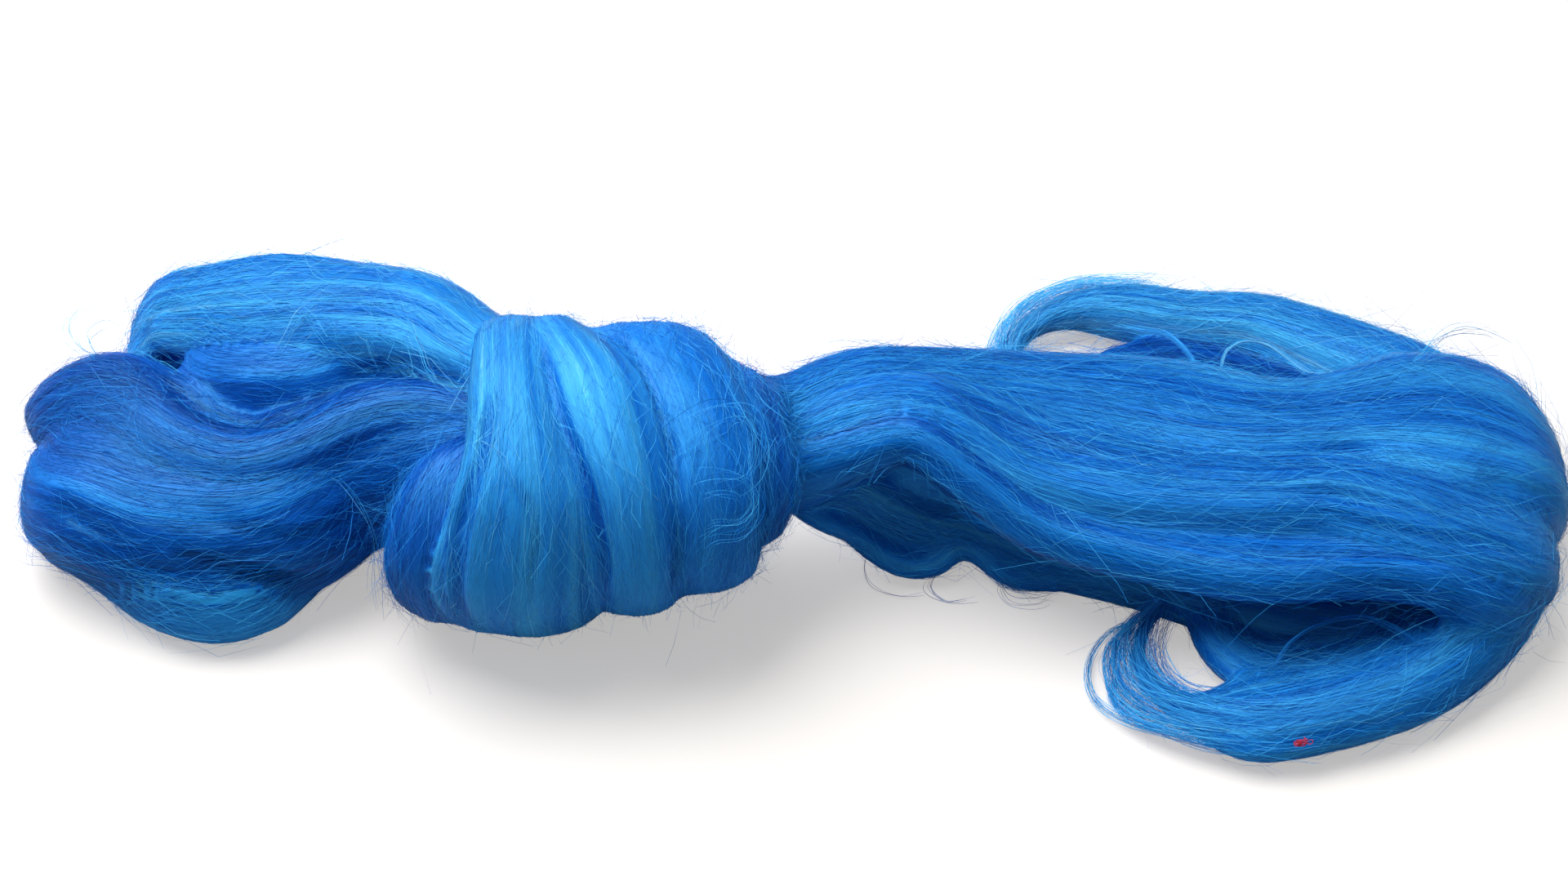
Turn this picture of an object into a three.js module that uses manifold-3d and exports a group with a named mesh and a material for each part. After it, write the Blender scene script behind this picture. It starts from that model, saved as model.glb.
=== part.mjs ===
// One hank of nylon combed top for hand spinning: a soft, thick rope of loose parallel fibre.
// The rope is folded into two bights, tied over itself in one loose overhand knot, and left
// open at the far end, where it spreads into a fan whose edges turn back in two loops.
//
// The hank is one length of fibre, so it is one solid. Each stretch of the rope that shows as
// a form of its own is a lay: a flattened bundle swept along its own line. The lays and the
// turns of the knot are joined, and the solid is cut flat where it lies on the table.
//
// Millimetres. +X runs along the hank, from the bights to the fan. +Y is the back edge as it
// lies, +Z is up, and the table is Z = 0.

import * as THREE from 'three';
import { mergeVertices } from 'three/addons/utils/BufferGeometryUtils.js';
import Module from 'manifold-3d';

const wasm = await Module();
wasm.setup();

// ---------------------------------------------------------------- driving dimensions

const LAY_STEP = 12;         // about how far apart the sections of a lay are
const LAY_SIDES = 14;        // corners of a section
const TURN_SECTIONS = 20;    // sections once around the knot
const SQUARENESS = 2.3;      // 2 is an ellipse, more is a fuller, flatter bundle
const CAP_ANGLES = [0, 32, 62];   // degrees, where the round end of a lay has its sections
const LONGEST_CAP = 0.8;     // of the end span, the most that the round end takes
const FINEST_EDGE = 0.01;    // corners closer than this are one corner
const TABLE = { x: 460, y: 320, z: 60 };   // block that trims the hank's underside
const BLUE = 0x1f6fca;

// The middle of the hank's outline, which stands over the origin.
const MIDDLE = { x: 0.8, y: 12 };

// The knot's body, and the radii that a turn has where its "out" is 1.
const KNOT = { x: -44, y: -8, z: 33, halfLength: 38, halfDepth: 36, halfHeight: 29 };
const KNOT_FACETS = { round: 20, high: 12 };
const TURN_REACH = { depth: 45, height: 35 };

// Which way a lay's width is held: across the hank, or flat on the table round a bend.
const ACROSS = { width: new THREE.Vector3(0, 1, 0) };
const FLAT = { face: new THREE.Vector3(0, 0, 1) };

// ---------------------------------------------------------------- lays

// One row is one section of a lay: its middle, how wide and how thick the bundle is there,
// and how far it leans, in degrees, from lying level. A plus lean lifts its left-hand edge.
const LAY_COLUMNS = ['x', 'y', 'z', 'wide', 'thick', 'lean'];

const LAYS = {
  // The back bight: out of the knot on top, round the end and back in beneath itself.
  upper_bight: {
    hold: ACROSS,
    rows: [
      [-50, 10, 43, 22, 16, 0],
      [-68, 16, 46, 24, 16, 0],
      [-78, 24, 47, 30, 17, 0],
      [-90, 34, 48, 33, 17, 4],
      [-107, 42, 45, 33, 17, 0],
      [-129, 49, 41, 34, 14, -9],
      [-145, 54, 37, 27, 10, -12],
      [-157, 59, 31, 25, 7, -8],
      [-163, 57, 20, 28, 6, 0],
      [-158, 51, 10, 31, 7, 0],
      [-147, 46, 7, 34, 10, 0],
      [-130, 43, 9, 36, 15, 0],
    ],
  },
  // What lies under the back bight and carries it.
  upper_bight_bed: {
    hold: ACROSS,
    rows: [
      [-66, 20, 24, 24, 36, 0],
      [-88, 33, 21, 32, 40, 0],
      [-112, 43, 23, 40, 43, 0],
      [-131, 47, 22, 34, 41, 0],
      [-145, 55, 20, 22, 36, 0],
      [-155, 58, 19, 20, 31, 0],
      [-161, 58, 18, 18, 25, 0],
    ],
  },
  // The strand inside the back bight, which sags over the front bight.
  upper_bight_belly: {
    hold: ACROSS,
    rows: [
      [-146, 45, 28, 12, 12, 0],
      [-139, 36, 30, 20, 17, 0],
      [-128, 28, 33, 23, 21, 0],
      [-116, 26, 35, 23, 20, 0],
      [-103, 28, 38, 20, 17, 0],
      [-91, 25, 41, 18, 15, 0],
      [-79, 16, 42, 18, 14, 0],
      [-62, 6, 41, 16, 14, 0],
    ],
  },
  // The front bight: one wide lay, with a crest along its back edge and a foot along its front.
  lower_bight: {
    hold: ACROSS,
    rows: [
      [-58, 0, 36, 20, 24, 0],
      [-74, 0, 33, 26, 30, 0],
      [-88, 2, 28, 32, 31, 0],
      [-103, 3, 24, 36, 31, 0],
      [-122, -2, 19, 50, 35, 0],
      [-146, 3, 17, 60, 34, 0],
      [-163, 11, 17, 56, 32, 0],
      [-173, 19, 15, 42, 27, 0],
      [-182, 25, 14, 27, 20, 0],
    ],
  },
  lower_bight_crest: {
    hold: ACROSS,
    rows: [
      [-60, 2, 43, 16, 14, 0],
      [-76, 5, 42, 20, 15, 0],
      [-90, 9, 40, 24, 17, 0],
      [-103, 8, 36, 27, 19, 0],
      [-116, 3, 32, 28, 20, 0],
      [-129, 2, 29, 28, 20, 0],
      [-143, 9, 28, 28, 20, 0],
      [-156, 23, 27, 28, 20, 0],
      [-169, 33, 24, 28, 19, 0],
      [-179, 34, 19, 26, 17, 0],
      [-186, 31, 11, 24, 15, 0],
    ],
  },
  lower_bight_foot: {
    hold: ACROSS,
    rows: [
      [-92, 5, 24, 18, 18, 0],
      [-105, 0, 18, 20, 18, 0],
      [-118, -10, 12, 22, 20, 0],
      [-131, -20, 9, 28, 21, 0],
      [-145, -17, 9, 28, 21, 0],
      [-157, -7, 9, 25, 20, 0],
      [-166, 1, 9, 22, 18, 0],
      [-175, 10, 10, 16, 16, 0],
    ],
  },
  // The fan: three lays side by side out of the neck, rolled under at the end.
  fan_back: {
    hold: ACROSS,
    rows: [
      [-16, 3, 34, 22, 24, 0],
      [4, 12, 35, 24, 22, 0],
      [18, 20, 37, 24, 18, 0],
      [36, 23, 35, 27, 16, 0],
      [68, 24, 31, 33, 15, 0],
      [90, 23, 29, 38, 15, 0],
      [108, 18, 29, 37, 15, 0],
      [126, 16, 29, 33, 15, 0],
      [142, 17, 30, 40, 15, 0],
      [156, 18, 30, 52, 15, 0],
      [168, 17, 28, 54, 15, 0],
      [178, 14, 25, 47, 14, 0],
      [184, 12, 20, 38, 13, 0],
      [185, 11, 14, 36, 13, 0],
      [181, 12, 10, 39, 14, 0],
      [171, 13, 10, 42, 17, 0],
      [150, 16, 10, 44, 21, 0],
      [112, 18, 10, 44, 22, 0],
      [76, 19, 12, 36, 24, 0],
      [52, 17, 19, 28, 24, 0],
      [34, 15, 23, 26, 20, 0],
      [18, 12, 26, 22, 16, 0],
    ],
  },
  fan_middle: {
    hold: ACROSS,
    rows: [
      [-16, 0, 32, 22, 24, 0],
      [4, 4, 34, 24, 22, 0],
      [20, 9, 39, 24, 18, 0],
      [38, 9, 39, 27, 16, 0],
      [58, 1, 34, 30, 15, 0],
      [76, -5, 32, 30, 15, 0],
      [94, -9, 31, 28, 15, 0],
      [112, -11, 31, 26, 15, 0],
      [130, -11, 31, 27, 15, 0],
      [146, -16, 30, 28, 15, 0],
      [160, -20, 27, 28, 14, 0],
      [171, -21, 23, 27, 14, 0],
      [178, -18, 18, 25, 13, 0],
      [179, -15, 12, 23, 13, 0],
      [173, -13, 9, 23, 14, 0],
    ],
  },
  fan_front: {
    hold: ACROSS,
    rows: [
      [-14, -4, 31, 20, 22, 0],
      [6, -3, 34, 19, 19, 0],
      [18, 0, 38, 20, 16, 0],
      [30, 1, 41, 20, 14, -4],
      [44, -7, 35, 20, 14, -8],
      [60, -16, 28, 20, 13, -8],
      [84, -23, 26, 22, 12, -4],
      [112, -29, 26, 24, 12, 0],
      [138, -29, 26, 22, 12, 0],
      [153, -31, 24, 22, 12, -4],
      [163, -33, 20, 20, 12, -4],
      [171, -31, 15, 18, 12, 0],
      [172, -27, 10, 18, 12, 0],
    ],
  },
  // The fibre inside the fan, between its upper lays and those rolled under.
  fan_bed: {
    hold: ACROSS,
    rows: [
      [40, 8, 24, 26, 18, 0],
      [58, 9, 19, 36, 18, 0],
      [82, 9, 18, 46, 17, 0],
      [110, 5, 17, 48, 17, 0],
      [140, 5, 17, 52, 17, 0],
      [160, 6, 17, 52, 16, 0],
      [175, 6, 17, 44, 14, 0],
    ],
  },
  // The other half of the rope, which drops to the table under the arch of the fan.
  under_lay: {
    hold: ACROSS,
    rows: [
      [-10, -3, 28, 20, 16, 0],
      [4, -1, 28, 16, 12, 0],
      [15, 2, 25, 15, 13, 0],
      [24, 5, 17, 18, 15, 0],
      [34, 8, 11, 23, 16, 0],
      [46, 8, 9, 26, 17, 0],
      [64, 3, 8, 31, 17, 6],
      [86, -2, 8, 37, 17, 6],
      [112, -7, 7, 50, 16, 4],
      [140, -10, 7, 56, 17, 4],
      [164, -7, 9, 48, 18, 0],
      [178, -2, 12, 34, 16, 0],
    ],
  },
  // The loops that the fan's edges turn back in.
  front_loop: {
    hold: FLAT,
    rows: [
      [138, -4, 24, 28, 12, 0],
      [157, -9, 22, 28, 13, 0],
      [169, -15, 18, 26, 15, 0],
      [168, -27, 13, 24, 16, 0],
      [158, -38, 9, 25, 16, 0],
      [144, -49, 7, 25, 13, 0],
      [125, -57, 6, 25, 12, 0],
      [107, -60, 5, 26, 10, 0],
      [92, -55, 4, 18, 8, 0],
      [85, -45, 4, 9, 7, 0],
      [84, -33, 4, 7, 7, 0],
      [89, -23, 6, 8, 7, 0],
      [97, -14, 8, 8, 7, 0],
    ],
  },
  front_loop_inner: {
    hold: FLAT,
    rows: [
      [163, -12, 16, 21, 15, 0],
      [161, -25, 10, 20, 14, 0],
      [152, -34, 8, 22, 12, 0],
      [138, -41, 6, 24, 10, 0],
      [123, -44, 5, 22, 9, 0],
      [111, -42, 5, 18, 8, 0],
      [104, -34, 5, 14, 8, 0],
      [103, -25, 6, 14, 8, 0],
      [110, -15, 8, 12, 8, 0],
    ],
  },
  back_loop: {
    hold: FLAT,
    rows: [
      [136, 16, 24, 28, 12, 0],
      [154, 24, 24, 28, 13, 0],
      [165, 34, 21, 24, 15, 0],
      [163, 46, 17, 22, 17, 0],
      [150, 57, 15, 23, 17, 0],
      [136, 68, 13, 22, 17, 0],
      [122, 77, 12, 20, 16, 0],
      [104, 82, 10, 18, 15, 0],
      [89, 88, 9, 16, 13, 0],
      [76, 91, 7, 12, 10, 0],
      [65, 86, 6, 10, 9, 0],
      [59, 76, 5, 9, 8, 0],
      [60, 64, 5, 9, 8, 0],
      [66, 51, 6, 9, 8, 0],
      [74, 39, 8, 9, 8, 0],
    ],
  },
  back_loop_inner: {
    hold: FLAT,
    rows: [
      [156, 29, 14, 22, 15, 0],
      [145, 41, 11, 24, 15, 0],
      [131, 52, 9, 27, 14, 0],
      [114, 61, 8, 28, 13, 0],
      [98, 66, 7, 24, 12, 0],
      [85, 66, 6, 15, 10, 0],
      [77, 58, 6, 11, 9, 0],
      [78, 46, 7, 10, 9, 0],
      [84, 36, 8, 10, 9, 0],
    ],
  },
};

// ---------------------------------------------------------------- turns of the knot

// One row is one section of a turn. "turn" is the way round the knot in degrees, with 0 on
// top and 90 at the front. "out" is how far out it lies there, as a share of TURN_REACH.
const TURN_COLUMNS = ['turn', 'x', 'out', 'wide', 'thick'];

const TURNS = {
  crescent: [
    [0, -61, 0.5, 20, 14],
    [45, -74, 0.66, 26, 15],
    [90, -79, 0.77, 28, 16],
    [135, -78, 0.85, 27, 17],
    [180, -76, 0.84, 30, 16],
    [225, -71, 0.78, 28, 15],
    [270, -66, 0.68, 26, 14],
    [315, -60, 0.58, 22, 14],
  ],
  left_band: [
    [0, -64, 0.99, 19, 14],
    [25, -62, 0.98, 23, 14],
    [50, -61, 0.98, 31, 14],
    [90, -62, 0.95, 37, 14],
    [135, -61, 0.92, 35, 14],
    [180, -59, 0.98, 36, 14],
    [225, -57, 0.92, 32, 14],
    [270, -60, 0.97, 24, 14],
    [315, -65, 1.02, 17, 14],
  ],
  middle_band: [
    [0, -46, 0.98, 27, 14],
    [25, -41, 0.95, 27, 14],
    [50, -37, 0.92, 25, 14],
    [90, -35, 0.87, 24, 14],
    [135, -36, 0.79, 24, 14],
    [180, -36, 0.87, 27, 14],
    [225, -41, 0.89, 28, 14],
    [270, -50, 0.94, 24, 14],
    [315, -56, 1.01, 19, 14],
  ],
  right_band: [
    [0, -24, 0.88, 30, 16],
    [25, -20, 0.86, 29, 16],
    [50, -18, 0.83, 28, 16],
    [90, -19, 0.74, 27, 16],
    [135, -23, 0.65, 26, 16],
    [180, -26, 0.7, 28, 16],
    [225, -28, 0.76, 32, 16],
    [270, -32, 0.88, 34, 16],
    [315, -33, 0.98, 36, 16],
  ],
  shoulder: [
    [0, -12, 0.66, 26, 16],
    [45, -9, 0.6, 24, 16],
    [90, -10, 0.46, 21, 16],
    [135, -15, 0.4, 20, 16],
    [180, -18, 0.44, 24, 16],
    [225, -16, 0.5, 26, 16],
    [270, -15, 0.6, 26, 16],
    [315, -14, 0.72, 26, 16],
  ],
};

// ---------------------------------------------------------------- from tables to surfaces

function named(row, columns) {
  return Object.fromEntries(columns.map((column, i) => [column, row[i]]));
}

// The outline of a bundle: a squared-up ellipse, one unit to each side.
function sectionCorners() {
  const corners = [];
  for (let i = 0; i < LAY_SIDES; i += 1) {
    const angle = (2 * Math.PI * i) / LAY_SIDES;
    const across = Math.cos(angle);
    const over = Math.sin(angle);
    corners.push([
      Math.sign(across) * Math.abs(across) ** (2 / SQUARENESS),
      Math.sign(over) * Math.abs(over) ** (2 / SQUARENESS),
    ]);
  }
  return corners;
}

// The two directions of a section, square to the line that the bundle follows.
function sectionAxes(tangent, hold, lean) {
  const width = new THREE.Vector3();
  const face = new THREE.Vector3();
  if (hold.width) {
    width.copy(hold.width).addScaledVector(tangent, -hold.width.dot(tangent)).normalize();
    face.crossVectors(tangent, width);
  } else {
    face.copy(hold.face).addScaledVector(tangent, -hold.face.dot(tangent)).normalize();
    width.crossVectors(face, tangent);
  }
  const roll = THREE.MathUtils.degToRad(lean);
  width.applyAxisAngle(tangent, roll);
  face.applyAxisAngle(tangent, roll);
  return { width, face };
}

function ring(middle, axes, wide, thick) {
  return sectionCorners().map(([across, over]) => middle.clone()
    .addScaledVector(axes.width, (across * wide) / 2)
    .addScaledVector(axes.face, (over * thick) / 2));
}

// Joins rings of corners into a closed surface. A lay ends in two points, and a turn comes
// back to its first ring.
function skin(rings, endPoints) {
  const points = rings.flat();
  const faces = [];
  const quads = endPoints ? rings.length - 1 : rings.length;
  for (let i = 0; i < quads; i += 1) {
    const here = i * LAY_SIDES;
    const there = ((i + 1) % rings.length) * LAY_SIDES;
    for (let j = 0; j < LAY_SIDES; j += 1) {
      const next = (j + 1) % LAY_SIDES;
      faces.push([here + j, there + j, there + next], [here + j, there + next, here + next]);
    }
  }
  if (endPoints) {
    const last = (rings.length - 1) * LAY_SIDES;
    for (let j = 0; j < LAY_SIDES; j += 1) {
      const next = (j + 1) % LAY_SIDES;
      faces.push([points.length, j, next], [points.length + 1, last + next, last + j]);
    }
    points.push(...endPoints);
  }
  return { points, faces };
}

// A closed solid. The faces are turned over if they were wound facing in.
function solid({ points, faces }) {
  let volume = 0;
  for (const [a, b, c] of faces) {
    volume += points[a].dot(new THREE.Vector3().crossVectors(points[b], points[c]));
  }
  const outward = volume > 0 ? faces : faces.map(([a, b, c]) => [a, c, b]);
  return new wasm.Manifold(new wasm.Mesh({
    numProp: 3,
    vertProperties: new Float32Array(points.flatMap((point) => point.toArray())),
    triVerts: new Uint32Array(outward.flat()),
  }));
}

// ---------------------------------------------------------------- the pieces of the hank

// Where a lay has its sections, as a share of the way through its rows: at each row and evenly
// between far ones, with a few close together where each end rounds off.
function layStations(sections) {
  const spans = sections.length - 1;
  const middles = sections.map(({ x, y, z }) => new THREE.Vector3(x, y, z));
  const spanLengths = middles.slice(1).map((middle, i) => middle.distanceTo(middles[i]));
  const firstCap = Math.min(sections[0].thick / 2 / spanLengths[0], LONGEST_CAP);
  const lastCap = Math.min(sections.at(-1).thick / 2 / spanLengths.at(-1), LONGEST_CAP);
  const caps = CAP_ANGLES.map((degrees) => THREE.MathUtils.degToRad(degrees));
  const stations = caps.map((angle) => ({
    share: (firstCap * (1 - Math.cos(angle))) / spans,
    size: Math.sin(angle),
  }));
  for (let span = 0; span < spans; span += 1) {
    const steps = Math.max(1, Math.round(spanLengths[span] / LAY_STEP));
    for (let step = span === 0 ? 1 : 0; step < steps; step += 1) {
      stations.push({ share: (span + step / steps) / spans, size: 1 });
    }
  }
  return stations.concat([...caps].reverse().map((angle) => ({
    share: 1 - (lastCap * (1 - Math.cos(angle))) / spans,
    size: Math.sin(angle),
  })));
}

function lay({ hold, rows }) {
  const sections = rows.map((row) => named(row, LAY_COLUMNS));
  const line = new THREE.CatmullRomCurve3(
    sections.map(({ x, y, z }) => new THREE.Vector3(x, y, z)),
    false,
    'centripetal',
  );
  const sizes = new THREE.CatmullRomCurve3(
    sections.map(({ wide, thick, lean }) => new THREE.Vector3(wide, thick, lean)),
    false,
    'catmullrom',
  );
  const rings = [];
  const endPoints = [];
  for (const { share, size } of layStations(sections)) {
    const middle = line.getPoint(share);
    if (size === 0) {
      endPoints.push(middle);
    } else {
      const { x: wide, y: thick, z: lean } = sizes.getPoint(share);
      const axes = sectionAxes(line.getTangent(share), hold, lean);
      rings.push(ring(middle, axes, wide * size, thick * size));
    }
  }
  return solid(skin(rings, endPoints));
}

function turn(rows) {
  const sections = rows.map((row) => named(row, TURN_COLUMNS));
  const line = new THREE.CatmullRomCurve3(
    sections.map(({ turn: degrees, x, out, thick }) => {
      const round = THREE.MathUtils.degToRad(degrees);
      return new THREE.Vector3(
        x,
        KNOT.y - Math.sin(round) * (TURN_REACH.depth * out - thick / 2),
        KNOT.z + Math.cos(round) * (TURN_REACH.height * out - thick / 2),
      );
    }),
    true,
    'centripetal',
  );
  const sizes = new THREE.CatmullRomCurve3(
    sections.map(({ wide, thick }) => new THREE.Vector3(wide, thick, 0)),
    true,
    'catmullrom',
  );
  const alongHank = { width: new THREE.Vector3(1, 0, 0) };
  const rings = [];
  for (let i = 0; i < TURN_SECTIONS; i += 1) {
    const t = i / TURN_SECTIONS;
    const { x: wide, y: thick } = sizes.getPoint(t);
    rings.push(ring(line.getPoint(t), sectionAxes(line.getTangent(t), alongHank, 0), wide, thick));
  }
  return solid(skin(rings, null));
}

// A three.js geometry as a solid to join or cut with.
function solidOf(geometry) {
  geometry.deleteAttribute('normal');
  geometry.deleteAttribute('uv');
  const merged = mergeVertices(geometry);
  return new wasm.Manifold(new wasm.Mesh({
    numProp: 3,
    vertProperties: new Float32Array(merged.attributes.position.array),
    triVerts: new Uint32Array(merged.index.array),
  }));
}

function knotBody() {
  const geometry = new THREE.SphereGeometry(1, KNOT_FACETS.round, KNOT_FACETS.high);
  geometry.scale(KNOT.halfLength, KNOT.halfDepth, KNOT.halfHeight);
  geometry.translate(KNOT.x, KNOT.y, KNOT.z);
  return solidOf(geometry);
}

function table() {
  const geometry = new THREE.BoxGeometry(TABLE.x, TABLE.y, TABLE.z);
  geometry.translate(MIDDLE.x, MIDDLE.y, -TABLE.z / 2);
  return solidOf(geometry);
}

// ---------------------------------------------------------------- one closed surface

// Splits a surface into its shells and keeps the largest: the fibre between the lays is
// packed, so a pocket that no air can reach is filled.
function outerShell(geometry) {
  const index = Array.from(geometry.index.array);
  const shellOf = Array.from({ length: geometry.attributes.position.count }, (_, i) => i);
  const find = (i) => {
    let root = i;
    while (shellOf[root] !== root) {
      root = shellOf[root];
    }
    shellOf[i] = root;
    return root;
  };
  for (let i = 0; i < index.length; i += 3) {
    shellOf[find(index[i])] = find(index[i + 1]);
    shellOf[find(index[i + 1])] = find(index[i + 2]);
  }
  const shells = new Map();
  for (let i = 0; i < index.length; i += 3) {
    const corners = index.slice(i, i + 3);
    if (new Set(corners).size === 3) {
      const shell = find(corners[0]);
      shells.set(shell, [...(shells.get(shell) ?? []), ...corners]);
    }
  }
  const largest = [...shells.values()].sort((a, b) => b.length - a.length)[0];
  geometry.setIndex(largest);
  return geometry;
}

function geometryOf(manifold) {
  const mesh = manifold.getMesh();
  const geometry = new THREE.BufferGeometry();
  geometry.setAttribute('position', new THREE.BufferAttribute(mesh.vertProperties, 3));
  geometry.setIndex(new THREE.BufferAttribute(mesh.triVerts, 1));
  return geometry;
}

function hankGeometry() {
  let hank = knotBody();
  for (const description of Object.values(LAYS)) {
    hank = hank.add(lay(description));
  }
  for (const rows of Object.values(TURNS)) {
    hank = hank.add(turn(rows));
  }
  hank = hank.subtract(table());
  const geometry = outerShell(mergeVertices(geometryOf(hank), FINEST_EDGE));
  geometry.computeVertexNormals();
  return geometry;
}

const fibre = new THREE.MeshStandardMaterial({ color: BLUE, roughness: 0.6, metalness: 0 });

const hank = new THREE.Mesh(hankGeometry(), fibre);
hank.name = 'sliver_hank';
hank.position.set(-MIDDLE.x, -MIDDLE.y, 0);

const part = new THREE.Group();
part.name = 'nylon_spinning_fibre';
part.add(hank);

export default part;
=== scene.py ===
"""A hank of bright blue nylon combed top, folded into bights and tied in a loose knot.

First comes the packed fibre: all the lays of the rope joined into one skin, with the ridges of
its locks and the creases pressed into it. On the skin lie many thousand narrow ribbons, the
fibres, which follow their lays. Fine hairs stand off it, and thin wisps bow out where the rope
opens.

Tables are in the table's millimetres, as in the part's source: x along the hank, y to its back
and z up, with the part's origin at MIDDLE. Everything made from them is in metres.
"""

import math

import bpy
import numpy as np
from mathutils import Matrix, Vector
from mathutils.bvhtree import BVHTree
from mathutils.kdtree import KDTree


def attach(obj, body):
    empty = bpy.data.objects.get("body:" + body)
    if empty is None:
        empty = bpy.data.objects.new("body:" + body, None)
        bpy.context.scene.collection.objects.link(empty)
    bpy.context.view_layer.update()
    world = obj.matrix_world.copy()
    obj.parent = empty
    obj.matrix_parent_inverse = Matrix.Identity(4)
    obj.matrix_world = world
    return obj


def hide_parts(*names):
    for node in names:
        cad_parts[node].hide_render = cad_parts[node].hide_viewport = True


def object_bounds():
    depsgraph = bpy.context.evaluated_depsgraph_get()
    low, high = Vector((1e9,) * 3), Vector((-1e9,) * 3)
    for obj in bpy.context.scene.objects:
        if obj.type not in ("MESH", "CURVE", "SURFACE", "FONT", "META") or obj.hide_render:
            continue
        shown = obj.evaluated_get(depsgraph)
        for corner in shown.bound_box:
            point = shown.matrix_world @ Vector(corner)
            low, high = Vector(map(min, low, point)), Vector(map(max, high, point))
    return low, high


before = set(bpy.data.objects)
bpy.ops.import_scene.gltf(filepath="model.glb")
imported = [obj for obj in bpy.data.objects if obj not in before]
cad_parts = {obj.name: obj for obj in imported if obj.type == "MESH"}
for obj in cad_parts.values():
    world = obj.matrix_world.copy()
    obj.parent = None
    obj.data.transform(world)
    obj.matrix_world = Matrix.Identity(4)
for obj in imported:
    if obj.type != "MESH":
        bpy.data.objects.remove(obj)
CAD_BOX = [list(corner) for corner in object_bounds()]

NODE = "sliver_hank"
MM = 0.001
SEED = 7

# ---- the rope's lays

MIDDLE = (0.8, 12)
KNOT = {"y": -8, "z": 33, "depth": 45, "height": 35}
SQUARENESS = 2.3  # of a section: 2 is an ellipse, more is a fuller, flatter bundle

# The rope's bundles: how much lighter than the rest each is painted, as painted light where light
# falls on it, or darker as painted shade where less than 0, and its sections. A lay's are x, y and z
# of the middle, width, thickness, and degrees of lean where it leans.
BIGHTS = {
    "upper_bight": (0.16, [(-50, 10, 43, 22, 16), (-68, 16, 46, 24, 16), (-78, 24, 47, 30, 17),
        (-90, 34, 48, 33, 17, 4), (-107, 42, 45, 33, 17), (-129, 49, 41, 34, 14, -9),
        (-145, 54, 37, 27, 10, -12), (-157, 59, 31, 25, 7, -8), (-163, 57, 20, 28, 6),
        (-158, 51, 10, 31, 7), (-147, 46, 7, 34, 10), (-130, 43, 9, 36, 15)]),
    "upper_bight_bed": (0, [(-66, 20, 24, 24, 36), (-88, 33, 21, 32, 40), (-112, 43, 23, 40, 43),
        (-131, 47, 22, 34, 41), (-145, 55, 20, 22, 36), (-155, 58, 19, 20, 31), (-161, 58, 18, 18, 25)]),
    "upper_bight_belly": (-0.16, [(-146, 45, 28, 12, 12), (-139, 36, 30, 20, 17), (-128, 28, 33, 23, 21),
        (-116, 26, 35, 23, 20), (-103, 28, 38, 20, 17), (-91, 25, 41, 18, 15), (-79, 16, 42, 18, 14),
        (-62, 6, 41, 16, 14)]),
    "lower_bight": (-0.26, [(-58, 0, 36, 20, 24), (-74, 0, 33, 26, 30), (-88, 2, 28, 32, 31),
        (-103, 3, 24, 36, 31), (-122, -2, 19, 50, 35), (-146, 3, 17, 60, 34), (-163, 11, 17, 56, 32),
        (-173, 19, 15, 42, 27), (-182, 25, 14, 27, 20)]),
    "lower_bight_crest": (-0.3, [(-60, 2, 43, 16, 14), (-76, 5, 42, 20, 15), (-90, 9, 40, 24, 17),
        (-103, 8, 36, 27, 19), (-116, 3, 32, 28, 20), (-129, 2, 29, 28, 20), (-143, 9, 28, 28, 20),
        (-156, 23, 27, 28, 20), (-169, 33, 24, 28, 19), (-179, 34, 19, 26, 17), (-186, 31, 11, 24, 15)]),
    "lower_bight_foot": (0.06, [(-92, 5, 24, 18, 18), (-105, 0, 18, 20, 18), (-118, -10, 12, 22, 20),
        (-131, -20, 9, 28, 21), (-145, -17, 9, 28, 21), (-157, -7, 9, 25, 20), (-166, 1, 9, 22, 18),
        (-175, 10, 10, 16, 16)]),
}
# A turn's are degrees round the knot from its top towards its front, x, how far out it lies,
# width and thickness.
TURNS = {
    "crescent": (-0.24, [(0, -61, 0.5, 20, 14), (45, -74, 0.66, 26, 15), (90, -79, 0.77, 28, 16),
        (135, -78, 0.85, 27, 17), (180, -76, 0.84, 30, 16), (225, -71, 0.78, 28, 15),
        (270, -66, 0.68, 26, 14), (315, -60, 0.58, 22, 14)]),
    "left_band": (0.14, [(0, -64, 0.99, 19, 14), (25, -62, 0.98, 23, 14), (50, -61, 0.98, 31, 14),
        (90, -62, 0.95, 37, 14), (135, -61, 0.92, 35, 14), (180, -59, 0.98, 36, 14),
        (225, -57, 0.92, 32, 14), (270, -60, 0.97, 24, 14), (315, -65, 1.02, 17, 14)]),
    "middle_band": (0.06, [(0, -46, 0.98, 27, 14), (25, -41, 0.95, 27, 14), (50, -37, 0.92, 25, 14),
        (90, -35, 0.87, 24, 14), (135, -36, 0.79, 24, 14), (180, -36, 0.87, 27, 14),
        (225, -41, 0.89, 28, 14), (270, -50, 0.94, 24, 14), (315, -56, 1.01, 19, 14)]),
    "right_band": (-0.04, [(0, -24, 0.88, 30, 16), (25, -20, 0.86, 29, 16), (50, -18, 0.83, 28, 16),
        (90, -19, 0.74, 27, 16), (135, -23, 0.65, 26, 16), (180, -26, 0.7, 28, 16),
        (225, -28, 0.76, 32, 16), (270, -32, 0.88, 34, 16), (315, -33, 0.98, 36, 16)]),
    "shoulder": (-0.14, [(0, -12, 0.66, 26, 16), (45, -9, 0.6, 24, 16), (90, -10, 0.46, 21, 16),
        (135, -15, 0.4, 20, 16), (180, -18, 0.44, 24, 16), (225, -16, 0.5, 26, 16),
        (270, -15, 0.6, 26, 16), (315, -14, 0.72, 26, 16)]),
}
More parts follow.
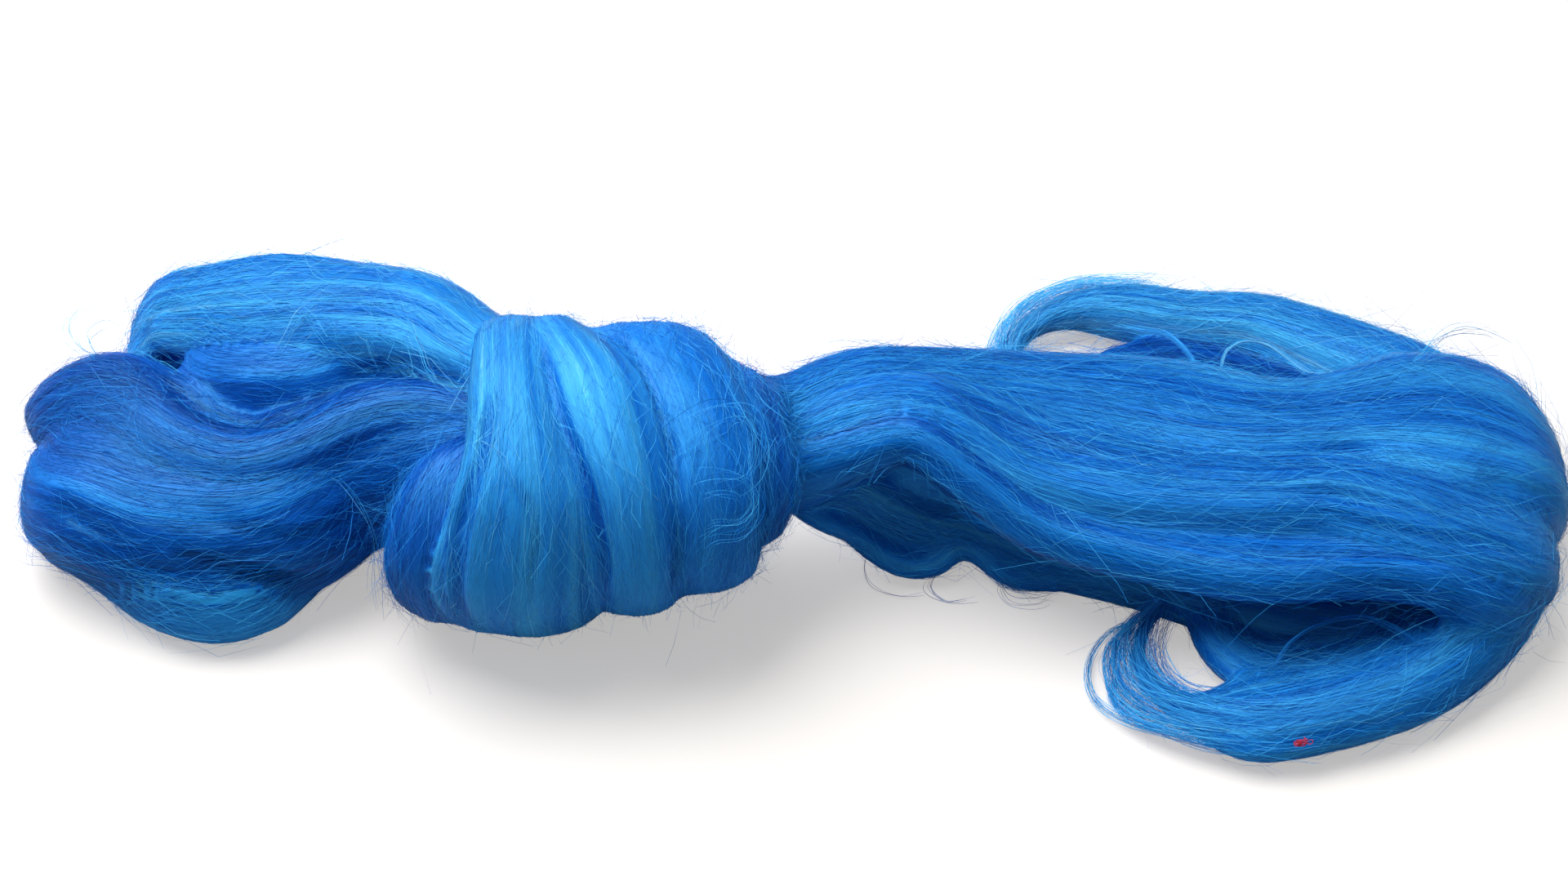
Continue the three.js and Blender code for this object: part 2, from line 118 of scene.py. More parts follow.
FAN = {
    "fan_back": (0.04, [(-16, 3, 34, 22, 24), (4, 12, 35, 24, 22), (18, 20, 37, 24, 18),
        (36, 23, 35, 27, 16), (68, 24, 31, 33, 15), (90, 23, 29, 38, 15), (108, 18, 29, 37, 15),
        (126, 16, 29, 33, 15), (142, 17, 30, 40, 15), (156, 18, 30, 52, 15), (168, 17, 28, 54, 15),
        (178, 14, 25, 47, 14), (184, 12, 20, 38, 13), (185, 11, 14, 36, 13), (181, 12, 10, 39, 14),
        (171, 13, 10, 42, 17), (150, 16, 10, 44, 21), (112, 18, 10, 44, 22), (76, 19, 12, 36, 24),
        (52, 17, 19, 28, 24), (34, 15, 23, 26, 20), (18, 12, 26, 22, 16)]),
    "fan_middle": (0.06, [(-16, 0, 32, 22, 24), (4, 4, 34, 24, 22), (20, 9, 39, 24, 18),
        (38, 9, 39, 27, 16), (58, 1, 34, 30, 15), (76, -5, 32, 30, 15), (94, -9, 31, 28, 15),
        (112, -11, 31, 26, 15), (130, -11, 31, 27, 15), (146, -16, 30, 28, 15), (160, -20, 27, 28, 14),
        (171, -21, 23, 27, 14), (178, -18, 18, 25, 13), (179, -15, 12, 23, 13), (173, -13, 9, 23, 14)]),
    "fan_front": (-0.03, [(-14, -4, 31, 20, 22), (6, -3, 34, 19, 19), (18, 0, 38, 20, 16),
        (30, 1, 41, 20, 14, -4), (44, -7, 35, 20, 14, -8), (60, -16, 28, 20, 13, -8),
        (84, -23, 26, 22, 12, -4), (112, -29, 26, 24, 12), (138, -29, 26, 22, 12),
        (153, -31, 24, 22, 12, -4), (163, -33, 20, 20, 12, -4), (171, -31, 15, 18, 12),
        (172, -27, 10, 18, 12)]),
    "fan_bed": (0, [(40, 8, 24, 26, 18), (58, 9, 19, 36, 18), (82, 9, 18, 46, 17), (110, 5, 17, 48, 17),
        (140, 5, 17, 52, 17), (160, 6, 17, 52, 16), (175, 6, 17, 44, 14)]),
    "under_lay": (0.06, [(-10, -3, 28, 20, 16), (4, -1, 28, 16, 12), (15, 2, 25, 15, 13),
        (24, 5, 17, 18, 15), (34, 8, 11, 23, 16), (46, 8, 9, 26, 17), (64, 3, 8, 31, 17, 6),
        (86, -2, 8, 37, 17, 6), (112, -7, 7, 50, 16, 4), (140, -10, 7, 56, 17, 4), (164, -7, 9, 48, 18),
        (178, -2, 12, 34, 16)]),
}
LOOPS = {
    "front_loop": (0.04, [(138, -4, 24, 28, 12), (157, -9, 22, 28, 13), (169, -15, 18, 26, 15),
        (168, -27, 13, 24, 16), (158, -38, 9, 25, 16), (144, -49, 7, 25, 13), (125, -57, 6, 25, 12),
        (107, -60, 5, 26, 10), (92, -55, 4, 18, 8), (85, -45, 4, 9, 7), (84, -33, 4, 7, 7),
        (89, -23, 6, 8, 7), (97, -14, 8, 8, 7)]),
    "front_loop_inner": (0, [(163, -12, 16, 21, 15), (161, -25, 10, 20, 14), (152, -34, 8, 22, 12),
        (138, -41, 6, 24, 10), (123, -44, 5, 22, 9), (111, -42, 5, 18, 8), (104, -34, 5, 14, 8),
        (103, -25, 6, 14, 8), (110, -15, 8, 12, 8)]),
    "back_loop": (0.18, [(136, 16, 24, 28, 12), (154, 24, 24, 28, 13), (165, 34, 21, 24, 15),
        (163, 46, 17, 22, 17), (150, 57, 15, 23, 17), (136, 68, 13, 22, 17), (122, 77, 12, 20, 16),
        (104, 82, 10, 18, 15), (89, 88, 9, 16, 13), (76, 91, 7, 12, 10), (65, 86, 6, 10, 9),
        (59, 76, 5, 9, 8), (60, 64, 5, 9, 8), (66, 51, 6, 9, 8), (74, 39, 8, 9, 8)]),
    "back_loop_inner": (-0.34, [(156, 29, 14, 22, 15), (145, 41, 11, 24, 15), (131, 52, 9, 27, 14),
        (114, 61, 8, 28, 13), (98, 66, 7, 24, 12), (85, 66, 6, 15, 10), (77, 58, 6, 11, 9),
        (78, 46, 7, 10, 9), (84, 36, 8, 10, 9)]),
    # a small ruffled lock below the neck, which the part's source doesn't have
    "neck_curl": (-0.04, [(2, -5, 25, 8, 6), (10, -7, 21, 10, 6), (16, -3, 15, 12, 7), (22, -2, 9, 13, 7),
        (29, -3, 5.5, 13, 7), (36, -3, 5.5, 12, 7), (43, -1, 8.5, 10, 6), (49, -4, 7.5, 10, 6),
        (55, -8, 5, 11, 6), (63, -9, 5, 12, 7), (76, -8, 8, 12, 8)]),
}
# The pieces of laid fibres: how many fibres, and what they follow.
GROUPS = {
    "bights": (6500, BIGHTS), "knot": (5900, TURNS), "fan": (7100, FAN), "loops": (4200, LOOPS),
}
# These lays bend flat on the table. The others hold their width across the hank.
LAID_FLAT = set(LOOPS) - {"neck_curl"}

# ---- lines and noise


def unit(vectors):
    length = np.linalg.norm(vectors, axis=-1, keepdims=True)
    return vectors / np.maximum(length, 1e-12)


def ease(t):
    return t * t * (3 - 2 * t)


def on_table(points):
    """Points of the part, in metres, as millimetres on the table."""
    table = points / MM
    table[:, :2] += MIDDLE
    return table


def spline(points, shares, power=0.5, closed=False):
    """Points on a Catmull-Rom curve through points, at shares of the way from 0 to 1."""
    points = np.asarray(points, float)
    if closed:
        points = np.vstack([points[-1], points, points[:2]])
    else:
        points = np.vstack([2 * points[0] - points[1], points, 2 * points[-1] - points[-2]])
    spans = len(points) - 3
    place = np.clip(shares, 0, 1) * spans
    at = np.minimum(place.astype(int), spans - 1)
    t = (place - at)[:, None]
    a, b, c, d = (points[at + k] for k in range(4))

    def step(start, end):
        return np.maximum(np.linalg.norm(end - start, axis=1, keepdims=True), 1e-6) ** power

    first, second, third = step(a, b), step(b, c), step(c, d)
    out = second * ((b - a) / first - (c - a) / (first + second) + (c - b) / second)
    into = second * ((c - b) / second - (d - b) / (second + third) + (d - c) / third)
    return (
        (2 * t**3 - 3 * t**2 + 1) * b + (t**3 - 2 * t**2 + t) * out
        + (3 * t**2 - 2 * t**3) * c + (t**3 - t**2) * into
    )


def slow_curves(random, count, points, knots):
    """Rows of slow random curves, each about -1 to 1."""
    values = random.normal(0, 0.5, (count, knots))
    at = np.linspace(0, knots - 1, points)
    low = np.minimum(at.astype(int), knots - 2)
    t = ease(at - low)
    return values[:, low] * (1 - t) + values[:, low + 1] * t


class Noise:
    """Smooth random values over a bundle, about -1 to 1, with no seam round it."""

    def __init__(self, random, bundle, long, wide):
        rows = max(2, round(bundle.length / long))
        columns = max(3, round(bundle.girth / wide))
        self.values = random.normal(0, 0.6, (rows + 1, columns))
        self.closed = bundle.closed
        if self.closed:
            self.values[-1] = self.values[0]

    def __call__(self, along, around):
        rows, columns = self.values.shape
        u = (along % 1 if self.closed else np.clip(along, 0, 1)) * (rows - 1)
        v = (around % 1) * columns
        i = np.minimum(u.astype(int), rows - 2)
        j = np.minimum(v.astype(int), columns - 1)
        s, t = ease(u - i), ease(v - j)
        beside = (j + 1) % columns
        low = self.values[i, j] * (1 - t) + self.values[i, beside] * t
        high = self.values[i + 1, j] * (1 - t) + self.values[i + 1, beside] * t
        return low * (1 - s) + high * s


# ---- bundles

# Patterns on a bundle are about so long and so wide, in mm.
LOCKS = [(100, 13, 1.3), (65, 5, 1.0), (45, 2.6, 0.5)]  # and how far their tops stand proud
SWAY = (60, 26)  # the waves that the fibres run in
CALM = (45, 16)  # the smooth and the rough patches
STREAKS = (70, 1.6)  # the lighter and darker streaks
SWAY_REACH = 2.4  # mm, how far the waves swing
STREAK_TONE = 0.17  # how much lighter the lightest streak is
ROUNDED = 0.7  # power that rounds a lock's top
# Where a loop's packed fibre begins to thin out, as a share of its length, and to what.
AIRY = {"front_loop": (0.64, 0.42), "back_loop": (0.66, 0.5)}
THINNING = 0.12  # share of the length over which it does so
LINE_POINTS = 600  # to measure a bundle's length with
OUTLINE_POINTS = 721  # to measure a section's girth with

# The way that a bundle's width, or its face where it lies flat, is held.
ALONG_HANK, TO_THE_BACK, UP = (1, 0, 0), (0, 1, 0), (0, 0, 1)


def travelled(line):
    """How far along a line each of its points lies."""
    return np.concatenate([[0], np.cumsum(np.linalg.norm(np.diff(line, axis=0), axis=1))])


class Bundle:
    """One lay or turn of the rope. Shares along and around it give places on its surface."""

    def __init__(self, name, number, painted_light_and_shade, rows):
        self.closed = name in TURNS
        # painted light on the whole lay, painted shade where it is less than 0
        self.painted_light_and_shade = painted_light_and_shade
        self.airy = AIRY.get(name, (1, 1))
        random = np.random.default_rng(SEED * 100 + number)
        self._flat = name in LAID_FLAT
        if self.closed:
            self._middles, self._sizes = self._read_turn(rows)
            self._held = ALONG_HANK
        else:
            self._middles, self._sizes = self._read_lay(rows)
            self._held = UP if self._flat else TO_THE_BACK
        shares = np.linspace(0, 1, LINE_POINTS)
        gone = travelled(spline(self._middles, shares, closed=self.closed))
        self.length = gone[-1]
        self._shares = (gone / self.length, shares)
        self.widest = self._sizes[:, 0].max()
        self._angles, self.girth = self._even_angles()
        self.sway = Noise(random, self, *SWAY)
        self.calm = Noise(random, self, *CALM)
        self.locks = [(Noise(random, self, long, wide), height) for long, wide, height in LOCKS]
        self.shade = Noise(random, self, *STREAKS)

    @staticmethod
    def _read_lay(rows):
        """The middles of a lay's sections, and their width, thickness and lean."""
        rows = np.array([(*row, 0)[:6] for row in rows], float)
        return rows[:, :3], rows[:, 3:]

    @staticmethod
    def _read_turn(rows):
        """The same for a turn of the knot, which never leans."""
        rows = np.array(rows, float)
        angle = np.radians(rows[:, 0])
        reach, thick = rows[:, 2], rows[:, 4]
        middles = np.stack([
            rows[:, 1],
            KNOT["y"] - np.sin(angle) * (KNOT["depth"] * reach - thick / 2),
            KNOT["z"] + np.cos(angle) * (KNOT["height"] * reach - thick / 2),
        ], axis=1)
        return middles, np.stack([rows[:, 3], thick, np.zeros(len(rows))], axis=1)

    @staticmethod
    def _section(angle):
        across, over = np.cos(angle), np.sin(angle)
        power = 2 / SQUARENESS
        return np.sign(across) * np.abs(across) ** power, np.sign(over) * np.abs(over) ** power

    def _even_angles(self):
        """Angles that are evenly far apart along the middle section's outline, and its length."""
        wide, thick = self._sizes[:, :2].mean(axis=0)
        angle = np.linspace(0, 2 * np.pi, OUTLINE_POINTS)
        across, over = self._section(angle)
        gone = travelled(np.stack([across * wide / 2, over * thick / 2], 1))
        return (gone / gone[-1], angle), gone[-1]

    def _axes(self, share):
        """Middle, width axis, face axis and sizes of the section at each share of the rows."""
        middle = spline(self._middles, share, closed=self.closed)
        sizes = spline(self._sizes, share, 0, self.closed)
        gap = 1e-4
        beside = [share + gap, share - gap]
        if self.closed:
            beside = [place % 1 for place in beside]
        ahead, behind = (spline(self._middles, place, closed=self.closed) for place in beside)
        tangent = unit(ahead - behind)
        held = np.broadcast_to(np.array(self._held, float), tangent.shape)
        held = unit(held - (held * tangent).sum(1, keepdims=True) * tangent)
        if self._flat:
            width, face = np.cross(held, tangent), held
        else:
            width, face = held, np.cross(tangent, held)
        lean = np.radians(sizes[:, 2:3])
        width, face = (
            width * np.cos(lean) + np.cross(tangent, width) * np.sin(lean),
            face * np.cos(lean) + np.cross(tangent, face) * np.sin(lean),
        )
        return middle, width, face, sizes[:, 0:1], sizes[:, 1:2]

    def surface(self, along, around):
        """Points in metres, the way out there, and how full the bundle is, from flat arrays."""
        share = np.interp(along % 1 if self.closed else along, *self._shares)
        middle, width, face, wide, thick = self._axes(share)
        angle = np.interp(around % 1, *self._angles)
        across, over = self._section(angle)
        offset = width * (across[:, None] * wide / 2) + face * (over[:, None] * thick / 2)
        outward = unit(
            width * (np.cos(angle)[:, None] * thick) + face * (np.sin(angle)[:, None] * wide)
        )
        point = middle + self._fullness(along)[:, None] * offset
        point[:, :2] -= MIDDLE
        return point * MM, outward, wide[:, 0] / self.widest

    def _fullness(self, along):
        """The round and the thinned ends of a lay, as a share of its full section."""
        if self.closed:
            return np.ones_like(along)
        first = self._sizes[0, 1] / 2 / self.length
        last = self._sizes[-1, 1] / 2 / self.length
        near = np.clip(np.minimum(along / first, (1 - along) / last), 0, 1)
        start, thinnest = self.airy
        thinned = 1 - (1 - thinnest) * ease(np.clip((along - start) / THINNING, 0, 1))
        return np.sqrt(1 - (1 - near) ** 2) * thinned

    def _swing(self, along, around):
        """How far round the bundle the waves carry the fibres there, as a share of its girth."""
        return self.sway(along, around) * SWAY_REACH / self.girth

    def fibre_path(self, along, start):
        """Where a fibre that starts at a share round the bundle lies further along it."""
        around = start
        for _ in range(2):
            around = start - self._swing(along, around)
        return around

    def relief(self, along, around):
        """How proud the locks stand there, in millimetres, less where the bundle is calm."""
        swayed = around + self._swing(along, around)
        total = 0.0
        for lock, height in self.locks:
            total = total + height * (np.abs(lock(along, swayed)) ** ROUNDED - 0.5)
        return total * (0.75 + 0.5 * self.calm(along, around))

    def on_locks(self, along, lane):
        """Where fibres that keep a lane lie on the locks, from flat arrays."""
        around = self.fibre_path(along, lane)
        points, outward, full = self.surface(along, around)
        relief = self.relief(along, around) * full
        return points + outward * (relief * MM)[:, None], around, relief

    def streak_and_painted_light(self, along, around):
        """Lighter and darker streaks, about -1 to 1, plus the light and shade painted on the whole
        bundle.
        """
        swayed = around + self._swing(along, around)
        # the bundle's painted light and shade, added to its streaks
        return self.shade(along, swayed) + self.painted_light_and_shade / STREAK_TONE


# ---- meshes


def add_object(name, data):
    thing = bpy.data.objects.new(name, data)
    bpy.context.scene.collection.objects.link(thing)
    return thing


def fill(items, field, values, kind=np.float32):
    """Sets a field of every item of a mesh from an array."""
    items.foreach_set(field, np.ascontiguousarray(values, kind).ravel())


def new_piece(name, points, quads, attributes, uv, material):
    """A dressed mesh from arrays: points (n, 3), quads (m, 4), point attributes, corner uv."""
    mesh = bpy.data.meshes.new(name)
    mesh.vertices.add(len(points))
    mesh.loops.add(quads.size)
    mesh.polygons.add(len(quads))
    fill(mesh.vertices, "co", points)
    fill(mesh.loops, "vertex_index", quads, np.int32)
    fill(mesh.polygons, "loop_start", np.arange(0, quads.size, 4), np.int32)
    fill(mesh.polygons, "use_smooth", np.ones(len(quads)), bool)
    for key, values in attributes.items():
        kind, field = ("FLOAT_VECTOR", "vector") if values.ndim == 2 else ("FLOAT", "value")
        fill(mesh.attributes.new(key, kind, "POINT").data, field, values)
    fill(mesh.uv_layers.new(name="OFBake").data, "uv", uv)
    mesh.update(calc_edges=True)
    mesh.validate()
    mesh.materials.append(material)
    piece = add_object(name, mesh)
    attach(piece, "root")
    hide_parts(NODE)


def cells(count):
    """The lower left corners of count equal squares of the unit square, and their side."""
    side = math.ceil(math.sqrt(count))
    number = np.arange(count)
    return np.stack([number % side, number // side], 1) / side, 1 / side


# ---- the skin of the packed fibre

TUBE_STEP = 2.4  # mm between the sections of a bundle's tube
TUBE_CORNER = 1.1  # mm between the corners of a section
TUBE_FINENESS = 1.2  # times as many corners, for the widest sections
VOXEL = 1.3  # mm, the size of the skin's faces
PULL = 0.6  # how far a round of smoothing moves a corner towards its neighbours
SOFTENING = 2  # rounds of smoothing, which fill the valleys between lays
MELT = 36  # more rounds where lays run into one another
MELT_EDGE = 6  # mm over which melting sets in
NEIGHBOURS = 4  # tube corners that a corner of the skin takes its relief from
BLUR = 0.4  # mm, evens out what the nearest of them weigh
LOWEST = 0.0002  # m above the table
FACE_CORNERS = [(0.1, 0.1), (0.9, 0.1), (0.9, 0.9), (0.1, 0.9)]  # of a face in its uv square

# Creases pressed into the skin: depth, width and line.
CREASES = [
  # the left band's edge over the crescent
    (2.8, 1.8, [(-66, -14, 66), (-67, -19, 66), (-68, -24, 64), (-69, -31, 61), (-71, -36, 57),
        (-73, -41, 53), (-74, -44, 47), (-75, -48, 40), (-75, -49, 32), (-73, -46, 23), (-71, -42, 16)]),
    # the slit in the crescent, and the seam down the left band
    (3, 1.6, [(-76, -36, 51), (-78, -40, 47), (-79, -44, 42), (-80, -46, 35), (-78, -46, 27),
        (-75, -42, 18)]),
    (1.4, 1.2, [(-62, -36, 59), (-60, -39, 57), (-58, -41, 55), (-57, -43, 52), (-56, -46, 48),
        (-57, -49, 42), (-58, -50, 33), (-59, -48, 26)]),
    # where the bands of the knot lie over one another
    (2.4, 1.5, [(-57, 9, 64), (-55, -5, 66), (-52, -19, 64), (-48, -30, 60), (-44, -37, 55),
        (-42, -42, 49), (-41, -46, 39), (-42, -45, 29)]),
    (2, 1.5, [(-44, 15, 60), (-38, 8, 61), (-32, -4, 63), (-29, -15, 62), (-26, -25, 59), (-25, -33, 54),
        (-24, -39, 46), (-24, -43, 38), (-26, -44, 31)]),
    # above the front bight's foot
    (2.6, 1.8, [(-104, -18, 17), (-110, -21, 16), (-118, -25, 18), (-125, -27, 21), (-133, -26, 23),
        (-142, -25, 25)]),
    # furrows along the front bight
    (1.3, 2, [(-136, -16, 33), (-128, -21, 31), (-118, -22, 29), (-107, -19, 28), (-100, -14, 30)]),
    (1.5, 2.6, [(-176, -9, 25), (-171, -11, 27), (-165, -16, 27), (-158, -21, 26), (-150, -24, 25)]),
    # between the two bights
    (3.4, 2.6, [(-152, 34, 34), (-146, 21, 37), (-136, 13, 37), (-127, 9, 39), (-118, 6, 42),
        (-113, 11, 42), (-107, 15, 42), (-101, 18, 45), (-91, 15, 49), (-82, 11, 51), (-74, 4, 50)]),
    # round the hollow in the back bight's end, and along the bight's back
    (1.8, 1.4, [(-161, 49, 28), (-160, 52, 31), (-157, 56, 34), (-154, 55, 36), (-150, 51, 38),
        (-146, 45, 39)]),
    (0.9, 1.6, [(-114, 37, 51), (-105, 35, 54), (-92, 28, 56), (-80, 20, 55)]),
    # the broad dip beside the arch
    (2.4, 6, [(38, 18, 46), (44, 12, 45), (49, 6, 44), (55, 0, 42), (62, -5, 41), (72, -8, 39)]),
    # fine furrows along the fan
    (1, 1.6, [(54, 12, 43), (64, 10, 40), (76, 10, 39), (89, 12, 38), (105, 12, 36), (120, 12, 36)]),
    (1, 1.8, [(65, -10, 40), (81, -14, 38), (96, -14, 38), (111, -14, 38), (126, -17, 38), (141, -21, 37),
        (157, -20, 35), (170, -15, 30)]),
    (1.2, 1.8, [(122, -21, 36), (137, -26, 35), (152, -29, 34), (166, -28, 31), (176, -29, 26)]),
    # the long fold on top of the fan
    (2.2, 1.8, [(72, 9, 38), (86, 4, 37), (97, 1, 36), (111, 0, 35), (125, 1, 35), (135, 2, 35),
        (142, -3, 35), (149, -9, 34), (168, -15, 30)]),
]

# Boxes inside which the lays melt together: their lowest and highest corners.
MELTED = [
    ((-27, -60, 30), (4, 60, 80)),
    ((150, -45, 8), (200, 60, 40)),
    ((-158, 20, 32), (-92, 54, 64)),
    ((-192, -24, 8), (-150, 36, 50)),
    ((-180, -44, -6), (-118, -10, 28)),
]


def tube(bundle):
    """A bundle's closed surface, with what the skin takes from it at each corner."""
    rings = max(12, round(bundle.length / TUBE_STEP))
    sides = max(24, round(bundle.girth * TUBE_FINENESS / TUBE_CORNER / 2) * 2)
    along = np.linspace(0, 1, rings, endpoint=not bundle.closed)
    if not bundle.closed:
        # more rings where the ends are rounded
        along = 0.5 - 0.5 * np.cos(np.pi * along) * (1 - 0.75 * np.sin(np.pi * along))
    along = np.repeat(along, sides)
    around = np.tile(np.arange(sides) / sides, rings)
    points, _, full = bundle.surface(along, around)
    ahead = 0.01
    turned = around - (bundle.sway(along + ahead, around) - bundle.sway(along, around)) * (
        SWAY_REACH / bundle.girth
    )
    grain = unit(bundle.surface(np.clip(along + ahead, 0, 1), turned)[0] - points)
    relief = bundle.relief(along, around) * full
    spans = rings if bundle.closed else rings - 1
    i, j = np.meshgrid(np.arange(spans), np.arange(sides), indexing="ij")
    here, there = i * sides, ((i + 1) % rings) * sides
    quads = np.stack([here + j, here + (j + 1) % sides, there + (j + 1) % sides, there + j], -1)
    return points, quads.reshape(-1, 4), grain, relief, bundle.streak_and_painted_light(along, around)


def joined_by_voxels(points, quads):
    """The outer skin of overlapping closed tubes, as points and quads."""
    mesh = bpy.data.meshes.new("tubes")
    mesh.from_pydata(points.tolist(), [], quads.tolist())
    tubes = add_object("tubes", mesh)
    remesh = tubes.modifiers.new("skin", "REMESH")
    remesh.mode = "VOXEL"
    remesh.voxel_size = VOXEL * MM
    skin = tubes.evaluated_get(bpy.context.evaluated_depsgraph_get()).to_mesh()
    corners = np.empty(len(skin.vertices) * 3, np.float32)
    skin.vertices.foreach_get("co", corners)
    faces = np.array([p.vertices[:] for p in skin.polygons if p.loop_total == 4])
    tubes.to_mesh_clear()
    bpy.data.objects.remove(tubes)
    bpy.data.meshes.remove(mesh)
    return corners.reshape(-1, 3).astype(float), faces


def softened(points, quads, rounds, share):
    """Points drawn towards the mean of their neighbours, each by its share."""
    ends = np.concatenate([quads[:, [k, (k + 1) % 4]] for k in range(4)])
    start, end = np.concatenate([ends, ends[:, ::-1]]).T
    count = np.maximum(np.bincount(start, minlength=len(points))[:, None], 1)
    for _ in range(rounds):
        total = np.stack([np.bincount(start, points[end, k], len(points)) for k in range(3)], 1)
        points = points + PULL * share[:, None] * (total / count - points)
    return points


def melted(points):
    """How far each point is free to melt, from 0 to 1."""
    table = on_table(points)
    total = np.zeros(len(points))
    for low, high in MELTED:
        inside = np.minimum(table - low, np.array(high) - table).min(1)
        total = np.maximum(total, ease(np.clip(inside / MELT_EDGE, 0, 1)))
    return total


def corner_normals(points, quads):
    a, b, c, d = (points[quads[:, k]] for k in range(4))
    faces = np.cross(c - a, d - b)
    total = np.zeros_like(points)
    for k in range(4):
        for axis in range(3):
            total[:, axis] += np.bincount(quads[:, k], faces[:, axis], len(points))
    return unit(total)


def crease_depth(points):
    """How deep the creases press the skin at each point, in millimetres."""
    total = np.zeros(len(points))
    table = on_table(points)
    share = np.linspace(0, 1, 120)
    for depth, width, line in CREASES:
        line = np.array(line, float)
        near = ((table > line.min(0) - 3 * width) & (table < line.max(0) + 3 * width)).all(1)
        gaps = np.linalg.norm(table[near][:, None] - spline(line, share)[None], axis=2)
        fade = np.sin(np.pi * np.clip(share[gaps.argmin(1)], 0.02, 0.98)) ** 0.5
        total[near] += depth * fade * np.exp(-((gaps.min(1) / width) ** 2))
    return total


MID_TONE = 0.5
GROOVE_PAINTED_SHADE = 0.15  # painted shade: how much darker grooves between locks and creases are painted, for each mm of depth
PROUD = (-1.8, 0.6)  # mm, the lowest and highest places that still make a difference


def tone_of(streak_and_painted_light, proud):
    """Lighter and darker locks, with shade painted between them and in creases, darker the deeper they
    sink.
    """
    return MID_TONE + STREAK_TONE * streak_and_painted_light + GROOVE_PAINTED_SHADE * np.clip(proud, *PROUD)


def make_skin(bundles, material):
    """The packed fibre's surface, and a tree to lay fibres on it with."""
    parts = [tube(bundle) for bundle in bundles]
    starts = np.cumsum([0] + [len(part[0]) for part in parts[:-1]])
    points = np.concatenate([part[0] for part in parts])
    quads = np.concatenate([part[1] + start for part, start in zip(parts, starts)])
    grain, relief, streak_and_painted_light = (np.concatenate([part[k] for part in parts]) for k in (2, 3, 4))
    skin, faces = joined_by_voxels(points, quads)
    skin = softened(skin, faces, SOFTENING, np.ones(len(skin)))
    skin = softened(skin, faces, MELT, melted(skin))
    near = KDTree(len(points))
    for number, point in enumerate(points):
        near.insert(point, number)
    near.balance()
    found = np.array([[(n, d) for _, n, d in near.find_n(point, NEIGHBOURS)] for point in skin])
    chosen = found[..., 0].astype(int)
    weight = 1 / (found[..., 1] / MM + BLUR) ** 2
    weight /= weight.sum(1, keepdims=True)
    towards = np.sign((grain[chosen] * grain[chosen[:, :1]]).sum(2, keepdims=True))
    skin_grain = unit((grain[chosen] * towards * weight[..., None]).sum(1))
    # the depth under the locks and creases also paints shade into the skin's tone
    proud = (relief[chosen] * weight).sum(1) - crease_depth(skin)
    skin = skin + corner_normals(skin, faces) * proud[:, None] * MM
    skin[:, 2] = np.maximum(skin[:, 2], LOWEST)
    corner, side = cells(len(faces))
    new_piece(
        "packed_fibre", skin, faces,
        {"grain": skin_grain, "tone": tone_of((streak_and_painted_light[chosen] * weight).sum(1), proud)},
        corner[:, None] + np.array(FACE_CORNERS) * side, material,
    )
    return BVHTree.FromPolygons(skin.tolist(), faces.tolist())


# ---- the fibres

FIBRE_STEPS = 13
FIBRE_REACH = (40, 105)  # mm, how long a fibre is in a long lay
LONG_LAY = 150  # mm, in a shorter one the fibres are shorter
FIBRE_WIDTH = (0.07, 0.16)  # mm
FIBRE_ROLL = 0.09  # radians that a fibre leans and twists
FIBRE_TONE = (0.035, 0.03)  # how much tones differ from fibre to fibre, and along one
WANDER = (1.3, 0.6)  # mm that a fibre strays sideways, steadily and in bends
LAYER = (0.06, 0.1, 0.16)  # mm off the skin: the mean, its spread, and what bends add
BURIED = 0.0016  # m under the skin at which a fibre is out of sight
TRIES = 3.6  # fibres tried for each one that is kept
CELL_MARGIN = 0.12  # of a fibre's uv square, kept free round it


def laid_on(tree, points, lifts):
    """Points moved onto the skin, the way out there, and how deep under it they were."""
    laid, outward, depth = np.empty_like(points), np.empty_like(points), np.empty(len(points))
    for i, point in enumerate(points):
        place, normal, _, distance = tree.find_nearest(point)
        inside = (Vector(point) - place).dot(normal) < 0
        laid[i], outward[i] = place, normal
        depth[i] = distance if inside else -distance
    return laid + outward * lifts[:, None], outward, depth


def taper(steps, power):
    """How thick a fibre is along its length: fine at both tips."""
    return np.sin(np.pi * np.linspace(0.03, 0.97, steps)) ** power


def choice(found, count, random):
    """A random choice of count fibres from several sets of arrays."""
    whole = [np.concatenate(part) for part in zip(*found)]
    chosen = np.sort(random.permutation(len(whole[0]))[:count])
    return [part[chosen] for part in whole]


def ribbons(name, lines, widths, rolls, outward, tone, material):
    """Joins centre lines (n, s, 3) into one mesh of narrow ribbons.

    The way out and the widths, rolls and tones may be the same along a ribbon, or all over.
    """
    count, steps, _ = lines.shape
    grain = unit(np.gradient(lines, axis=1))
    side = unit(np.cross(grain, outward))
    lift = np.cross(side, grain)
    across = side * np.cos(rolls)[..., None] + lift * np.sin(rolls)[..., None]
    half = across * (widths[..., None] / 2)
    points = np.stack([lines - half, lines + half], axis=2)
    points[..., 2] = np.maximum(points[..., 2], LOWEST)
    base = (np.arange(count)[:, None] * steps + np.arange(steps - 1)[None]) * 2
    quads = np.stack([base, base + 1, base + 3, base + 2], -1).reshape(-1, 4)
    corner, size = cells(count)
    low, high = CELL_MARGIN * size, (1 - CELL_MARGIN) * size
    uv = np.empty((count, steps, 2, 2))
    uv[..., 0] = corner[:, None, None, 0] + np.linspace(low, high, steps)[None, :, None]
    uv[..., 1] = corner[:, None, None, 1] + np.array([low, high])[None, None]
    attributes = {
        "tone": np.broadcast_to(tone[..., None], (count, steps, 2)).ravel(),
        "grain": np.repeat(grain[:, :, None], 2, axis=2).reshape(-1, 3),
    }
    uv = uv.reshape(-1, 2)[quads.ravel()]
    new_piece(name, points.reshape(-1, 3), quads, attributes, uv, material)


